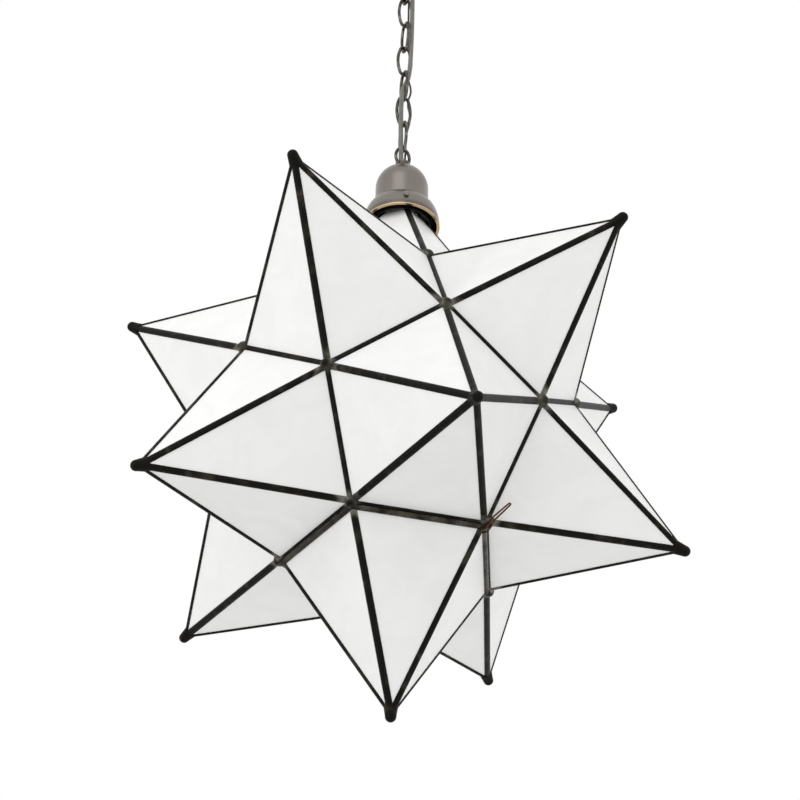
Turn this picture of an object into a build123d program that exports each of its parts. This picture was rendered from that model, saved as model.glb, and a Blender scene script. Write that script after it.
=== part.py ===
from build123d import *
import os
from math import acos, asin, atan, cos, degrees, hypot, pi, radians, sin, sqrt, tan

# A hanging star lantern with twelve five-sided glass points, on a chain under a ceiling canopy.
# Millimetres and degrees. The origin is in the ceiling plane at the canopy's centre, with +Z up.
os.makedirs("parts", exist_ok=True)

# ---- Star ----
TIP_RADIUS = 263.0          # star centre to the sharp tip of a point
NODE_RADIUS = 152.9         # star centre to a place where three points meet
STAR_TURN = -64.6           # azimuth of the first upper point
GLASS_THICKNESS = 3.0
RIDGE_SETBACK = 2.4         # pane edge back from the sharp ridge
VALLEY_SETBACK = 1.5        # pane edge back from the valley line
PANE_TIP_CUT = 9.5          # pane cut off short of the tip, along its slope

# ---- Came and solder ----
RIDGE_HALF_WIDTH = 3.4
RIDGE_CROWN = 0.4
RIDGE_EDGE = 0.3
RIDGE_HEART = 0.4           # half thickness of the strip between two panes
HEART_DEPTH = 4.2
TIP_BEAD_RADIUS = 4.5
TIP_CONE_RADIUS = 5.7       # solder's foot below the bead
TIP_CONE_HEIGHT = 8.0
VALLEY_HALF_WIDTH = 2.6
VALLEY_CROWN = 1.9
VALLEY_HEART = 1.0
SOLDER_RADIUS = 5.4
PANE_CORNER_GAP = 0.2

# ---- Door ----
DOOR_GAP = 0.2              # each side of the parting plane
RIM_FOOT = 0.3
RIM_WIDTH = 5.5
RIM_HEIGHT = 2.6
RIM_HEART = 1.2
HINGE_OFFSET = 6.0          # hinge axis out from the valley line
KNUCKLE_RADIUS = 2.0
PIN_RADIUS = 0.9
PIN_FIT = 0.05
KNUCKLE_LENGTH = 12.0
KNUCKLE_GAP = 0.3
LEAF_THICKNESS = 1.4
PIN_HEAD_RADIUS = 1.6
PIN_HEAD_LENGTH = 0.8
CATCH_WIRE = 1.4
CATCH_WIDTH = 3.6           # between the centres of the two arms
CATCH_NOSE_WIDTH = 2.2      # between their centres at the far bend
CATCH_REACH = 24.6          # node to the far bend
CATCH_RISE = 8.3            # far bend above the node
CATCH_ROOT = 7.5            # node back to the soldered root
CATCH_KNEE = 4.6            # node back to the bend above the root
ARM_BEND = 1.9
NOSE_BEND = 1.0
STUD_RADIUS = 0.7
STUD_PLACE = 6.6            # node to the stud
STUD_HEIGHT = 5.4
CATCH_DIP = 4.6             # arms above the node's level beside the stud
CATCH_LIFT = 0.9            # wire's centre above the solder it crosses

# ---- Cap and collar ----
CAP_RIM_BELOW_TIP = 38.8
CAP_OVERHANG = 8.2          # rim out from the collar
CAP_NECK_RADIUS = 24.1
CAP_SKIRT_HEIGHT = 23.4
CAP_NECK_HEIGHT = 21.2
CAP_WALL = 1.0
LIP_WIDTH = 2.5             # rim turned in
LIP_THICKNESS = 1.0
COLLAR_RECESS = 1.0         # collar's edge above the cap's rim
COLLAR_FIT = 0.3            # between the collar and the came inside it
COLLAR_WALL = 1.0
COLLAR_PLATE = 1.5
NUT_ROOM = 2.0              # between the lower nut's corners and the glass
SET_SCREW_RADIUS = 1.5
SET_SCREW_HEAD_RADIUS = 2.5
SET_SCREW_HEAD_LENGTH = 2.0
SET_SCREW_COUNT = 3
SET_SCREW_AZIMUTH = -108.0
SET_SCREW_ABOVE_RIM = 11.1

# ---- Chain and loops ----
LINK_COUNT = 7
LINK_LENGTH = 38.3          # outside
LINK_WIDTH = 17.0           # outside
LINK_WIRE = 3.0
LINK_GAP = 0.3
LINK_END_BEND = 5.0         # centreline, where a link hangs in the next
LOOP_HEIGHT = 23.0
CANOPY_EYE_HEIGHT = 23.0
LOOP_WIDTH = 16.8
LOOP_END_BEND = 6.0
HUB_RADIUS = 6.5
HUB_EMBED = 3.5             # loop's lower wire sunk in the hub
CAP_HUB_HEIGHT = 7.0

# ---- Pipe, nuts, lamp holder and bulb ----
PIPE_RADIUS = 5.1
PIPE_BORE_RADIUS = 3.7
PIPE_CLEARANCE = 0.15
PIPE_IN_HUB = 5.0
NUT_FLATS = 14.3
NUT_THICKNESS = 3.0
DOME_NUT_RISE = 1.75        # more height where a nut follows the dome
SOCKET_BELOW_TIP = 50.0
SOCKET_CAP_HEIGHT = 16.0
SOCKET_HUB_HEIGHT = 6.0
SOCKET_HUB_RADIUS = 8.0
SOCKET_RADIUS = 17.0
SOCKET_HEIGHT = 42.0
SOCKET_WALL = 1.2
SCREW_SHELL_BORE = 13.35
SCREW_SHELL_WALL = 0.5
SCREW_SHELL_HEIGHT = 28.0
SCREW_SHELL_RECESS = 1.0
SOCKET_OVERLAP = 8.0
SOCKET_WEB = 2.0
CONTACT_RADIUS = 5.0
CONTACT_THICKNESS = 0.8
BULB_BASE_RADIUS = 13.0
BULB_BASE_LENGTH = 24.0
BULB_TIP_RADIUS = 4.5
BULB_TIP_LENGTH = 2.4
BULB_RADIUS = 30.0
BULB_LENGTH = 82.0          # glass below the brass base
BULB_NECK_RADIUS = 12.5
BULB_NECK_LENGTH = 4.0

# ---- Canopy ----
CANOPY_RADIUS = 60.0
CANOPY_HEIGHT = 28.0
CANOPY_LIP = 4.0
CANOPY_TOP_RADIUS = 12.0
CANOPY_WALL = 1.0
CROSSBAR_END = 6.55         # mount hole to the bar's end
CROSSBAR_WIDTH = 16.0
CROSSBAR_THICKNESS = 2.0
MOUNT_SPACING = 88.9
MOUNT_HOLE_RADIUS = 2.3
CANOPY_HUB_HEIGHT = 13.6

# ---- Cord and ground wire ----
CORD_RADIUS = 2.2
GROUND_RADIUS = 1.0
BEND_SHARE = 0.45           # of the shorter run beside a bend


def save(piece, name):
    """Labels one finished piece and writes it as the node of that name."""
    piece.label = name
    export_step(piece, f"parts/{name}.step")


# ---- Places along the hanging line, from the ceiling down ----
LINK_PITCH = LINK_LENGTH - 2 * LINK_WIRE - LINK_GAP
CANOPY_HUB_BOTTOM = -CANOPY_HEIGHT - CANOPY_HUB_HEIGHT
CANOPY_EYE_BOTTOM = CANOPY_HUB_BOTTOM + HUB_EMBED - CANOPY_EYE_HEIGHT
FIRST_JOINT_Z = CANOPY_EYE_BOTTOM + LINK_WIRE + LINK_GAP / 2
CAP_JOINT_Z = FIRST_JOINT_Z - LINK_COUNT * LINK_PITCH
CAP_LOOP_TOP = CAP_JOINT_Z + LINK_WIRE + LINK_GAP / 2
CAP_LOOP_BOTTOM = CAP_LOOP_TOP - LOOP_HEIGHT
CAP_HUB_TOP = CAP_LOOP_BOTTOM + HUB_EMBED
CAP_APEX_Z = CAP_HUB_TOP - CAP_HUB_HEIGHT
CAP_NECK_BOTTOM = CAP_APEX_Z - CAP_NECK_RADIUS - CAP_NECK_HEIGHT
CAP_RIM_Z = CAP_NECK_BOTTOM - CAP_SKIRT_HEIGHT
STAR_Z = CAP_RIM_Z + CAP_RIM_BELOW_TIP - TIP_RADIUS
STAR_CENTRE = Vector(0, 0, STAR_Z)
SOCKET_TOP_Z = STAR_Z + TIP_RADIUS - SOCKET_BELOW_TIP

# ---- One point, in its own frame: centre of the star at zero, axis along +Z, a base corner on +X ----
SIDES = 5
SIDE_ANGLE = 360 / SIDES
RING_ELEVATION = degrees(atan(0.5))
CORNER_ANGLE = acos(sqrt((5 + 2 * sqrt(5)) / 15))     # point's axis to a base corner
CORNER_RADIUS = NODE_RADIUS * sin(CORNER_ANGLE)
BASE_HEIGHT = NODE_RADIUS * cos(CORNER_ANGLE)
BASE_APOTHEM = CORNER_RADIUS * cos(pi / SIDES)
HALF_EDGE = CORNER_RADIUS * sin(pi / SIDES)
POINT_HEIGHT = TIP_RADIUS - BASE_HEIGHT
SLANT = hypot(POINT_HEIGHT, BASE_APOTHEM)
RIDGE_LENGTH = hypot(POINT_HEIGHT, CORNER_RADIUS)
VALLEY_RADIUS = hypot(BASE_APOTHEM, BASE_HEIGHT)
HALF_APEX = atan(HALF_EDGE / SLANT)
RIDGE_HALF_ANGLE = asin(
    (POINT_HEIGHT**2 * cos(pi / SIDES) + BASE_APOTHEM * CORNER_RADIUS) / (SLANT * RIDGE_LENGTH)
)
DOOR_HALF_ANGLE = atan(BASE_APOTHEM / BASE_HEIGHT)    # point's axis to the middle of a base edge
VALLEY_HALF_ANGLE = acos((TIP_RADIUS * cos(DOOR_HALF_ANGLE) - VALLEY_RADIUS) / SLANT)

# ---- Collar: a cup turned down over the top point, its plate where a nut fits inside the glass ----
GLASS_ACROSS = GLASS_THICKNESS * SLANT / POINT_HEIGHT  # a sloping pane's thickness on the level
COLLAR_BELOW_TIP = (NUT_FLATS / sqrt(3) + NUT_ROOM + GLASS_ACROSS) * POINT_HEIGHT / BASE_APOTHEM
COLLAR_Z = STAR_Z + TIP_RADIUS - COLLAR_BELOW_TIP
COLLAR_BOTTOM = CAP_RIM_Z + COLLAR_RECESS
CORNER_AT_COLLAR = (CAP_RIM_BELOW_TIP - COLLAR_RECESS) * CORNER_RADIUS / POINT_HEIGHT
CAME_ACROSS = RIDGE_CROWN * RIDGE_LENGTH / POINT_HEIGHT
COLLAR_BORE = CORNER_AT_COLLAR + CAME_ACROSS + COLLAR_FIT
COLLAR_RADIUS = COLLAR_BORE + COLLAR_WALL
CAP_RIM_RADIUS = COLLAR_RADIUS + CAP_OVERHANG


def direction(azimuth, elevation):
    """Unit vector at an azimuth from +X and an elevation above the horizontal."""
    level = cos(radians(elevation))
    return Vector(level * cos(radians(azimuth)), level * sin(radians(azimuth)), sin(radians(elevation)))


UP = Vector(0, 0, 1)
DOWN = Vector(0, 0, -1)
UPPER_AXES = [direction(STAR_TURN + k * SIDE_ANGLE, RING_ELEVATION) for k in range(SIDES)]
LOWER_AXES = [direction(STAR_TURN + (k - 0.5) * SIDE_ANGLE, -RING_ELEVATION) for k in range(SIDES)]
POINT_AXES = [UP, DOWN] + UPPER_AXES + LOWER_AXES


def point_plane(axis, neighbour):
    """Plane at the star's centre, z out along a point's axis and x towards one base corner."""
    return Plane(origin=STAR_CENTRE, x_dir=axis * axis.dot(neighbour) - neighbour, z_dir=axis)


def pane_plane(side):
    """Outer face of one pane, origin mid-way along its base edge, y up the slope."""
    middle = radians((side + 0.5) * SIDE_ANGLE)
    outward = Vector(POINT_HEIGHT * cos(middle), POINT_HEIGHT * sin(middle), BASE_APOTHEM)
    foot = Vector(BASE_APOTHEM * cos(middle), BASE_APOTHEM * sin(middle), BASE_HEIGHT)
    return Plane(origin=foot, x_dir=(-sin(middle), cos(middle), 0), z_dir=outward)


def ridge_plane(corner):
    """Square to one ridge at its base corner, y outwards and z along the ridge to the tip."""
    angle = radians(corner * SIDE_ANGLE)
    foot = Vector(CORNER_RADIUS * cos(angle), CORNER_RADIUS * sin(angle), BASE_HEIGHT)
    return Plane(origin=foot, x_dir=(sin(angle), -cos(angle), 0), z_dir=Vector(0, 0, TIP_RADIUS) - foot)


BASE_CORNERS = [ridge_plane(corner).origin for corner in range(SIDES)]


def pane_half_width(up_slope):
    """Half the glass width at a distance up the slope, inside the ridge set-back."""
    return HALF_EDGE * (1 - up_slope / SLANT) - RIDGE_SETBACK / cos(HALF_APEX)


# ---- Master glass point: five panes ----
with BuildPart() as glass_master:
    for side in range(SIDES):
        with BuildSketch(pane_plane(side)):
            pane_top = SLANT - PANE_TIP_CUT
            low_half = pane_half_width(VALLEY_SETBACK)
            top_half = pane_half_width(pane_top)
            with BuildLine():
                Polyline(
                    (-low_half, VALLEY_SETBACK),
                    (low_half, VALLEY_SETBACK),
                    (top_half, pane_top),
                    (-top_half, pane_top),
                    close=True,
                )
            make_face()
            with Locations((-HALF_EDGE, 0), (HALF_EDGE, 0)):
                Circle(SOLDER_RADIUS + PANE_CORNER_GAP, mode=Mode.SUBTRACT)
        extrude(amount=-GLASS_THICKNESS)

# ---- Master ridges: five lengths of came, closed at the tip with solder ----
with BuildPart() as ridge_master:
    flank_x = RIDGE_HALF_WIDTH * sin(RIDGE_HALF_ANGLE)
    flank_y = -RIDGE_HALF_WIDTH * cos(RIDGE_HALF_ANGLE)
    edge_x = flank_x + RIDGE_EDGE * cos(RIDGE_HALF_ANGLE)
    edge_y = flank_y + RIDGE_EDGE * sin(RIDGE_HALF_ANGLE)
    heart_y = -RIDGE_HEART / tan(RIDGE_HALF_ANGLE)
    for corner in range(SIDES):
        with BuildSketch(ridge_plane(corner)):
            with BuildLine():
                ThreePointArc((-edge_x, edge_y), (0, RIDGE_CROWN), (edge_x, edge_y))
                Polyline(
                    (edge_x, edge_y),
                    (flank_x, flank_y),
                    (RIDGE_HEART, heart_y),
                    (RIDGE_HEART, -HEART_DEPTH),
                    (-RIDGE_HEART, -HEART_DEPTH),
                    (-RIDGE_HEART, heart_y),
                    (-flank_x, flank_y),
                    (-edge_x, edge_y),
                )
            make_face()
        extrude(amount=RIDGE_LENGTH)
    with Locations((0, 0, TIP_RADIUS)):
        Sphere(TIP_BEAD_RADIUS)
    with Locations((0, 0, TIP_RADIUS - TIP_CONE_HEIGHT / 2)):
        Cone(TIP_CONE_RADIUS, TIP_BEAD_RADIUS, TIP_CONE_HEIGHT)
    with Locations(*BASE_CORNERS):
        Sphere(SOLDER_RADIUS, mode=Mode.SUBTRACT)

TOP_PLANE = point_plane(UP, UPPER_AXES[0])
DOOR_PLANE = point_plane(DOWN, LOWER_AXES[0])
POINT_PLANES = {}
for number, axis in enumerate(UPPER_AXES, start=1):
    POINT_PLANES[f"upper_point_{number}"] = point_plane(axis, UP)
for number, axis in enumerate(LOWER_AXES, start=1):
    POINT_PLANES[f"lower_point_{number}"] = point_plane(axis, DOWN)

for name, plane in POINT_PLANES.items():
    with BuildPart() as point_glass:
        add(glass_master.part.moved(Location(plane)))
    save(point_glass.part, f"{name}_glass")
    with BuildPart() as point_ridges:
        add(ridge_master.part.moved(Location(plane)))
    save(point_ridges.part, f"{name}_ridges")

with BuildPart() as top_point_glass:
    add(glass_master.part.moved(Location(TOP_PLANE)))
    split(bisect_by=Plane.XY.offset(COLLAR_Z), keep=Keep.BOTTOM)
save(top_point_glass.part, "top_point_glass")

with BuildPart() as top_point_ridges:
    add(ridge_master.part.moved(Location(TOP_PLANE)))
    split(bisect_by=Plane.XY.offset(COLLAR_Z), keep=Keep.BOTTOM)
save(top_point_ridges.part, "top_point_ridges")

with BuildPart() as door_glass:
    add(glass_master.part.moved(Location(DOOR_PLANE)))
save(door_glass.part, "door_glass")

# ---- Valleys: the thirty lines where two neighbouring points meet ----
NEIGHBOUR_COSINE = 1 / sqrt(5)
NEIGHBOURS = [
    (first, second)
    for place, first in enumerate(POINT_AXES)
    for second in POINT_AXES[place + 1:]
    if abs(first.dot(second) - NEIGHBOUR_COSINE) < 0.01
]


def valley_plane(first, second):
    """Square to a valley at one end, y outwards, x towards the first point, z along the valley."""
    along = first.cross(second).normalized()
    middle = (first + second).normalized() * VALLEY_RADIUS + STAR_CENTRE
    return Plane(origin=middle - along * HALF_EDGE, x_dir=first - second, z_dir=along)


def on_pane(along_pane, above_pane):
    """Section point beside a valley, measured on the first point's pane and out from it."""
    lean = VALLEY_HALF_ANGLE
    return (along_pane * sin(lean) - above_pane * cos(lean), along_pane * cos(lean) + above_pane * sin(lean))


def door_wedge(gap):
    """Pentagonal wedge from the star's centre through the door's rim, its sides moved out by a gap."""
    shift = gap / sin(DOOR_HALF_ANGLE)
    with BuildPart() as wedge:
        for depth in (BASE_HEIGHT / 2, BASE_HEIGHT * 1.5):
            with BuildSketch(DOOR_PLANE.offset(depth)):
                RegularPolygon((depth + shift) * CORNER_RADIUS / BASE_HEIGHT, SIDES)
        loft(ruled=True)
    return wedge.part


NODES = []
for first, second in NEIGHBOURS:
    plane = valley_plane(first, second)
    for end, away in ((plane.origin, -plane.z_dir), (plane.origin + plane.z_dir * 2 * HALF_EDGE, plane.z_dir)):
        if all((end - node.origin).length > SOLDER_RADIUS for node in NODES):
            NODES.append(Plane(origin=end, x_dir=away, z_dir=end - STAR_CENTRE))

with BuildPart() as valley_seams:
    leg_x, leg_y = on_pane(VALLEY_HALF_WIDTH, 0)
    for first, second in NEIGHBOURS:
        with BuildSketch(valley_plane(first, second)):
            heart_top = VALLEY_HEART / tan(VALLEY_HALF_ANGLE)
            with BuildLine():
                ThreePointArc((-leg_x, leg_y), (0, VALLEY_CROWN), (leg_x, leg_y))
                Polyline(
                    (leg_x, leg_y),
                    (VALLEY_HEART, heart_top),
                    (VALLEY_HEART, -HEART_DEPTH),
                    (-VALLEY_HEART, -HEART_DEPTH),
                    (-VALLEY_HEART, heart_top),
                    (-leg_x, leg_y),
                )
            make_face()
        extrude(amount=2 * HALF_EDGE)
    with Locations(*NODES):
        Sphere(SOLDER_RADIUS)
    add(door_wedge(DOOR_GAP), mode=Mode.SUBTRACT)

# ---- Door rim: a rounded moulding on the door's side of its five valleys ----
DOOR_VALLEYS = [valley_plane(DOWN, axis) for axis in LOWER_AXES]

with BuildPart() as door_frame:
    rim_start = on_pane(RIM_FOOT, 0)
    rim_crown = on_pane(RIM_FOOT + RIM_WIDTH / 2, RIM_HEIGHT)
    rim_end = on_pane(RIM_FOOT + RIM_WIDTH, 0)
    for plane in DOOR_VALLEYS:
        with BuildSketch(plane):
            with BuildLine():
                ThreePointArc(rim_start, rim_crown, rim_end)
                Polyline(
                    rim_end,
                    (RIM_HEART, RIM_HEART / tan(VALLEY_HALF_ANGLE)),
                    (RIM_HEART, -HEART_DEPTH),
                    (rim_start[0], -HEART_DEPTH),
                    rim_start,
                )
            make_face()
        extrude(amount=2 * HALF_EDGE)
    with Locations(*[plane.origin for plane in DOOR_VALLEYS]):
        Sphere(SOLDER_RADIUS)
    add(door_wedge(-DOOR_GAP), mode=Mode.INTERSECT)

with BuildPart() as door_ridges:
    add(ridge_master.part.moved(Location(DOOR_PLANE)))
    add(door_frame.part, mode=Mode.SUBTRACT)
save(door_ridges.part, "door_ridges")

# ---- Hinge along the door edge opposite the catch ----
HINGE_NEIGHBOUR = LOWER_AXES[3]
CATCH_AZIMUTH = STAR_TURN
hinge_valley = valley_plane(DOWN, HINGE_NEIGHBOUR)
hinge_middle = hinge_valley.origin + hinge_valley.z_dir * HALF_EDGE
HINGE_CENTRE = hinge_middle + hinge_valley.y_dir * HINGE_OFFSET
HINGE_PLANE = Plane(origin=HINGE_CENTRE, x_dir=hinge_valley.x_dir, z_dir=hinge_valley.z_dir)
LEAF_ANGLE = degrees(VALLEY_HALF_ANGLE)


def knuckle(start, door_side):
    """Barrel round the hinge axis with its leaf running down to one side of the valley."""
    turn = -LEAF_ANGLE if door_side else LEAF_ANGLE - 180
    reach = HINGE_OFFSET * sin(VALLEY_HALF_ANGLE) - KNUCKLE_RADIUS / 4
    barrel_plane = HINGE_PLANE.offset(start)
    with BuildPart() as piece:
        with BuildSketch(barrel_plane):
            Circle(KNUCKLE_RADIUS)
            with Locations(Location((0, 0), turn)):
                Rectangle(reach, LEAF_THICKNESS, align=(Align.MIN, Align.CENTER))
            Circle(PIN_RADIUS + PIN_FIT, mode=Mode.SUBTRACT)
        extrude(amount=KNUCKLE_LENGTH)
    return piece.part


with BuildPart() as hinge_door_knuckle:
    add(knuckle(-KNUCKLE_LENGTH / 2, True))
    add(door_frame.part, mode=Mode.SUBTRACT)
    add(door_glass.part, mode=Mode.SUBTRACT)
save(hinge_door_knuckle.part, "hinge_door_knuckle")

fixed_starts = (KNUCKLE_LENGTH / 2 + KNUCKLE_GAP, -1.5 * KNUCKLE_LENGTH - KNUCKLE_GAP)
with BuildPart() as hinge_fixed_knuckles:
    for start in fixed_starts:
        add(knuckle(start, False))
    add(valley_seams.part, mode=Mode.SUBTRACT)
    add(door_wedge(DOOR_GAP), mode=Mode.SUBTRACT)
save(hinge_fixed_knuckles.part, "hinge_fixed_knuckles")

with BuildPart() as hinge_pin:
    pin_half = 1.5 * KNUCKLE_LENGTH + KNUCKLE_GAP
    with BuildSketch(HINGE_PLANE.offset(-pin_half)):
        Circle(PIN_RADIUS)
    extrude(amount=2 * pin_half)
    for head_plane in (HINGE_PLANE.offset(-pin_half - PIN_HEAD_LENGTH), HINGE_PLANE.offset(pin_half)):
        with BuildSketch(head_plane):
            Circle(PIN_HEAD_RADIUS)
        extrude(amount=PIN_HEAD_LENGTH)
save(hinge_pin.part, "hinge_pin")

# ---- Catch: a springy wire loop on the door's free corner, lying over a stud on the fixed solder ----
catch_foot = direction(CATCH_AZIMUTH, 0) * CORNER_RADIUS + DOWN * BASE_HEIGHT
catch_out = catch_foot.normalized()
catch_across = catch_out.cross(direction(CATCH_AZIMUTH, 0)).normalized()
CATCH_PLANE = Plane(origin=STAR_CENTRE + catch_foot, x_dir=catch_across.cross(catch_out), z_dir=catch_out)


def on_catch(along, aside, out):
    """Point near the catch: along from the door over the node, aside, and out from the star."""
    return CATCH_PLANE.from_local_coords(Vector(along, aside, out))


CATCH_SPREAD = CATCH_WIDTH / 2
ridge_rise = asin((TIP_RADIUS * cos(CORNER_ANGLE) - NODE_RADIUS) / RIDGE_LENGTH)
over_solder = SOLDER_RADIUS + CATCH_LIFT
arm_points = [
    (-CATCH_ROOT, CATCH_SPREAD, CATCH_ROOT * tan(ridge_rise)),
    (-CATCH_KNEE, CATCH_SPREAD, over_solder),
    (CATCH_WIRE, CATCH_SPREAD, over_solder),
    (STUD_PLACE + STUD_RADIUS, CATCH_SPREAD, CATCH_DIP),
    (CATCH_REACH, CATCH_NOSE_WIDTH / 2, CATCH_RISE),
]
near_arm = [on_catch(along, aside, out) for along, aside, out in arm_points]
far_arm = [on_catch(along, -aside, out) for along, aside, out in arm_points]
arm_bends = [ARM_BEND] * (len(arm_points) - 2)

with BuildPart() as catch_loop:
    with BuildLine() as catch_path:
        FilletPolyline(*near_arm, *reversed(far_arm), radius=[*arm_bends, NOSE_BEND, NOSE_BEND, *arm_bends])
    with BuildSketch(Plane(origin=near_arm[0], z_dir=near_arm[1] - near_arm[0])):
        Circle(CATCH_WIRE / 2)
    sweep()
    for neighbour in (door_frame, door_ridges, door_glass):
        add(neighbour.part, mode=Mode.SUBTRACT)
save(catch_loop.part, "catch_loop")
save(door_frame.part, "door_frame")

with BuildPart() as catch_stud:
    with BuildSketch(Plane(origin=on_catch(STUD_PLACE, 0, 0), z_dir=catch_out)):
        Circle(STUD_RADIUS)
    extrude(amount=STUD_HEIGHT)
    add(valley_seams.part, mode=Mode.SUBTRACT)
save(catch_stud.part, "catch_stud")
save(valley_seams.part, "valley_seams")


# ---- Wire eyes: the chain's links and the two fixed loops ----
def wire_path(centre, wide, height, width, end_bend):
    """Oval centreline of four arcs standing along Z, in the XZ plane when wide, else in YZ, and its section."""
    across = Vector(1, 0, 0) if wide else Vector(0, 1, 0)
    facing = Vector(0, -1, 0) if wide else Vector(1, 0, 0)
    half_width = (width - LINK_WIRE) / 2
    end_centre = (height - LINK_WIRE) / 2 - end_bend
    side_bend = (half_width**2 - end_bend**2 + end_centre**2) / (2 * (half_width - end_bend))
    side_centre = side_bend - half_width
    turn = degrees(atan(end_centre / side_centre))
    with BuildLine(Plane(origin=centre, x_dir=across, z_dir=facing)) as path:
        first_arc = CenterArc((0, end_centre), end_bend, turn, 180 - 2 * turn)
        CenterArc((side_centre, 0), side_bend, 180 - turn, 2 * turn)
        CenterArc((0, -end_centre), end_bend, 180 + turn, 180 - 2 * turn)
        CenterArc((-side_centre, 0), side_bend, -turn, 2 * turn)
    return path.wires()[0], Plane(origin=first_arc @ 0, z_dir=first_arc % 0)


for number in range(1, LINK_COUNT + 1):
    link_middle = Vector(0, 0, FIRST_JOINT_Z - (number - 0.5) * LINK_PITCH)
    wide_link = number % 2 == 0
    link_path, link_section = wire_path(link_middle, wide_link, LINK_LENGTH, LINK_WIDTH, LINK_END_BEND)
    with BuildPart() as chain_link:
        with BuildSketch(link_section):
            Circle(LINK_WIRE / 2)
        sweep(path=link_path)
    save(chain_link.part, f"chain_link_{number}")

eye_path, eye_section = wire_path(
    Vector(0, 0, CANOPY_EYE_BOTTOM + CANOPY_EYE_HEIGHT / 2), True, CANOPY_EYE_HEIGHT, LOOP_WIDTH, LOOP_END_BEND
)
NIPPLE_BOTTOM = -CANOPY_HEIGHT - CANOPY_HUB_HEIGHT / 2
with BuildPart() as canopy_loop:
    with BuildSketch(eye_section):
        Circle(LINK_WIRE / 2)
    sweep(path=eye_path)
    with BuildSketch(Plane.XY.offset(-CANOPY_HEIGHT)):
        Circle(HUB_RADIUS)
    extrude(amount=-CANOPY_HUB_HEIGHT)
    with BuildSketch(Plane.XY.offset(-CANOPY_HEIGHT)):
        Circle(PIPE_BORE_RADIUS)
    extrude(amount=-CANOPY_HUB_HEIGHT - LINK_WIRE, mode=Mode.SUBTRACT)
    with BuildSketch(Plane.XY.offset(NIPPLE_BOTTOM)):
        Circle(PIPE_RADIUS)
    extrude(amount=CANOPY_HUB_HEIGHT, mode=Mode.SUBTRACT)
save(canopy_loop.part, "canopy_loop")

ring_path, ring_section = wire_path(
    Vector(0, 0, CAP_LOOP_BOTTOM + LOOP_HEIGHT / 2), True, LOOP_HEIGHT, LOOP_WIDTH, LOOP_END_BEND
)
PIPE_TOP = CAP_APEX_Z + PIPE_IN_HUB
with BuildPart() as cap_loop:
    with BuildSketch(ring_section):
        Circle(LINK_WIRE / 2)
    sweep(path=ring_path)
    with BuildSketch(Plane.XY.offset(CAP_HUB_TOP)):
        Circle(HUB_RADIUS)
    extrude(amount=-CAP_HUB_HEIGHT - CAP_WALL)
    with BuildSketch(Plane.XY.offset(CAP_HUB_TOP + LINK_WIRE)):
        Circle(PIPE_BORE_RADIUS)
    extrude(amount=-CAP_HUB_HEIGHT - 2 * LINK_WIRE, mode=Mode.SUBTRACT)
    with BuildSketch(Plane.XY.offset(PIPE_TOP)):
        Circle(PIPE_RADIUS)
    extrude(amount=-PIPE_IN_HUB - 2 * CAP_WALL, mode=Mode.SUBTRACT)
    with Locations((0, 0, CAP_APEX_Z - CAP_NECK_RADIUS)):
        Sphere(CAP_NECK_RADIUS, mode=Mode.SUBTRACT)
save(cap_loop.part, "cap_loop")


# ---- Domed cap: bell skirt, straight neck and half-round crown ----
def skirt_radius(height):
    """Outside radius of the skirt at a height above the rim."""
    bulge = CAP_RIM_RADIUS - CAP_NECK_RADIUS
    return CAP_NECK_RADIUS + bulge * sqrt(1 - (height / CAP_SKIRT_HEIGHT) ** 2)


SCREW_Z = CAP_RIM_Z + SET_SCREW_ABOVE_RIM
SCREW_HEAD_START = skirt_radius(SET_SCREW_ABOVE_RIM - SET_SCREW_HEAD_RADIUS)
SCREW_AZIMUTHS = [SET_SCREW_AZIMUTH + k * 360 / SET_SCREW_COUNT for k in range(SET_SCREW_COUNT)]


def screw_plane(azimuth, radius):
    """Plane facing outwards at a set screw."""
    outward = direction(azimuth, 0)
    return Plane(origin=outward * radius + Vector(0, 0, SCREW_Z), z_dir=outward)


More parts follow.
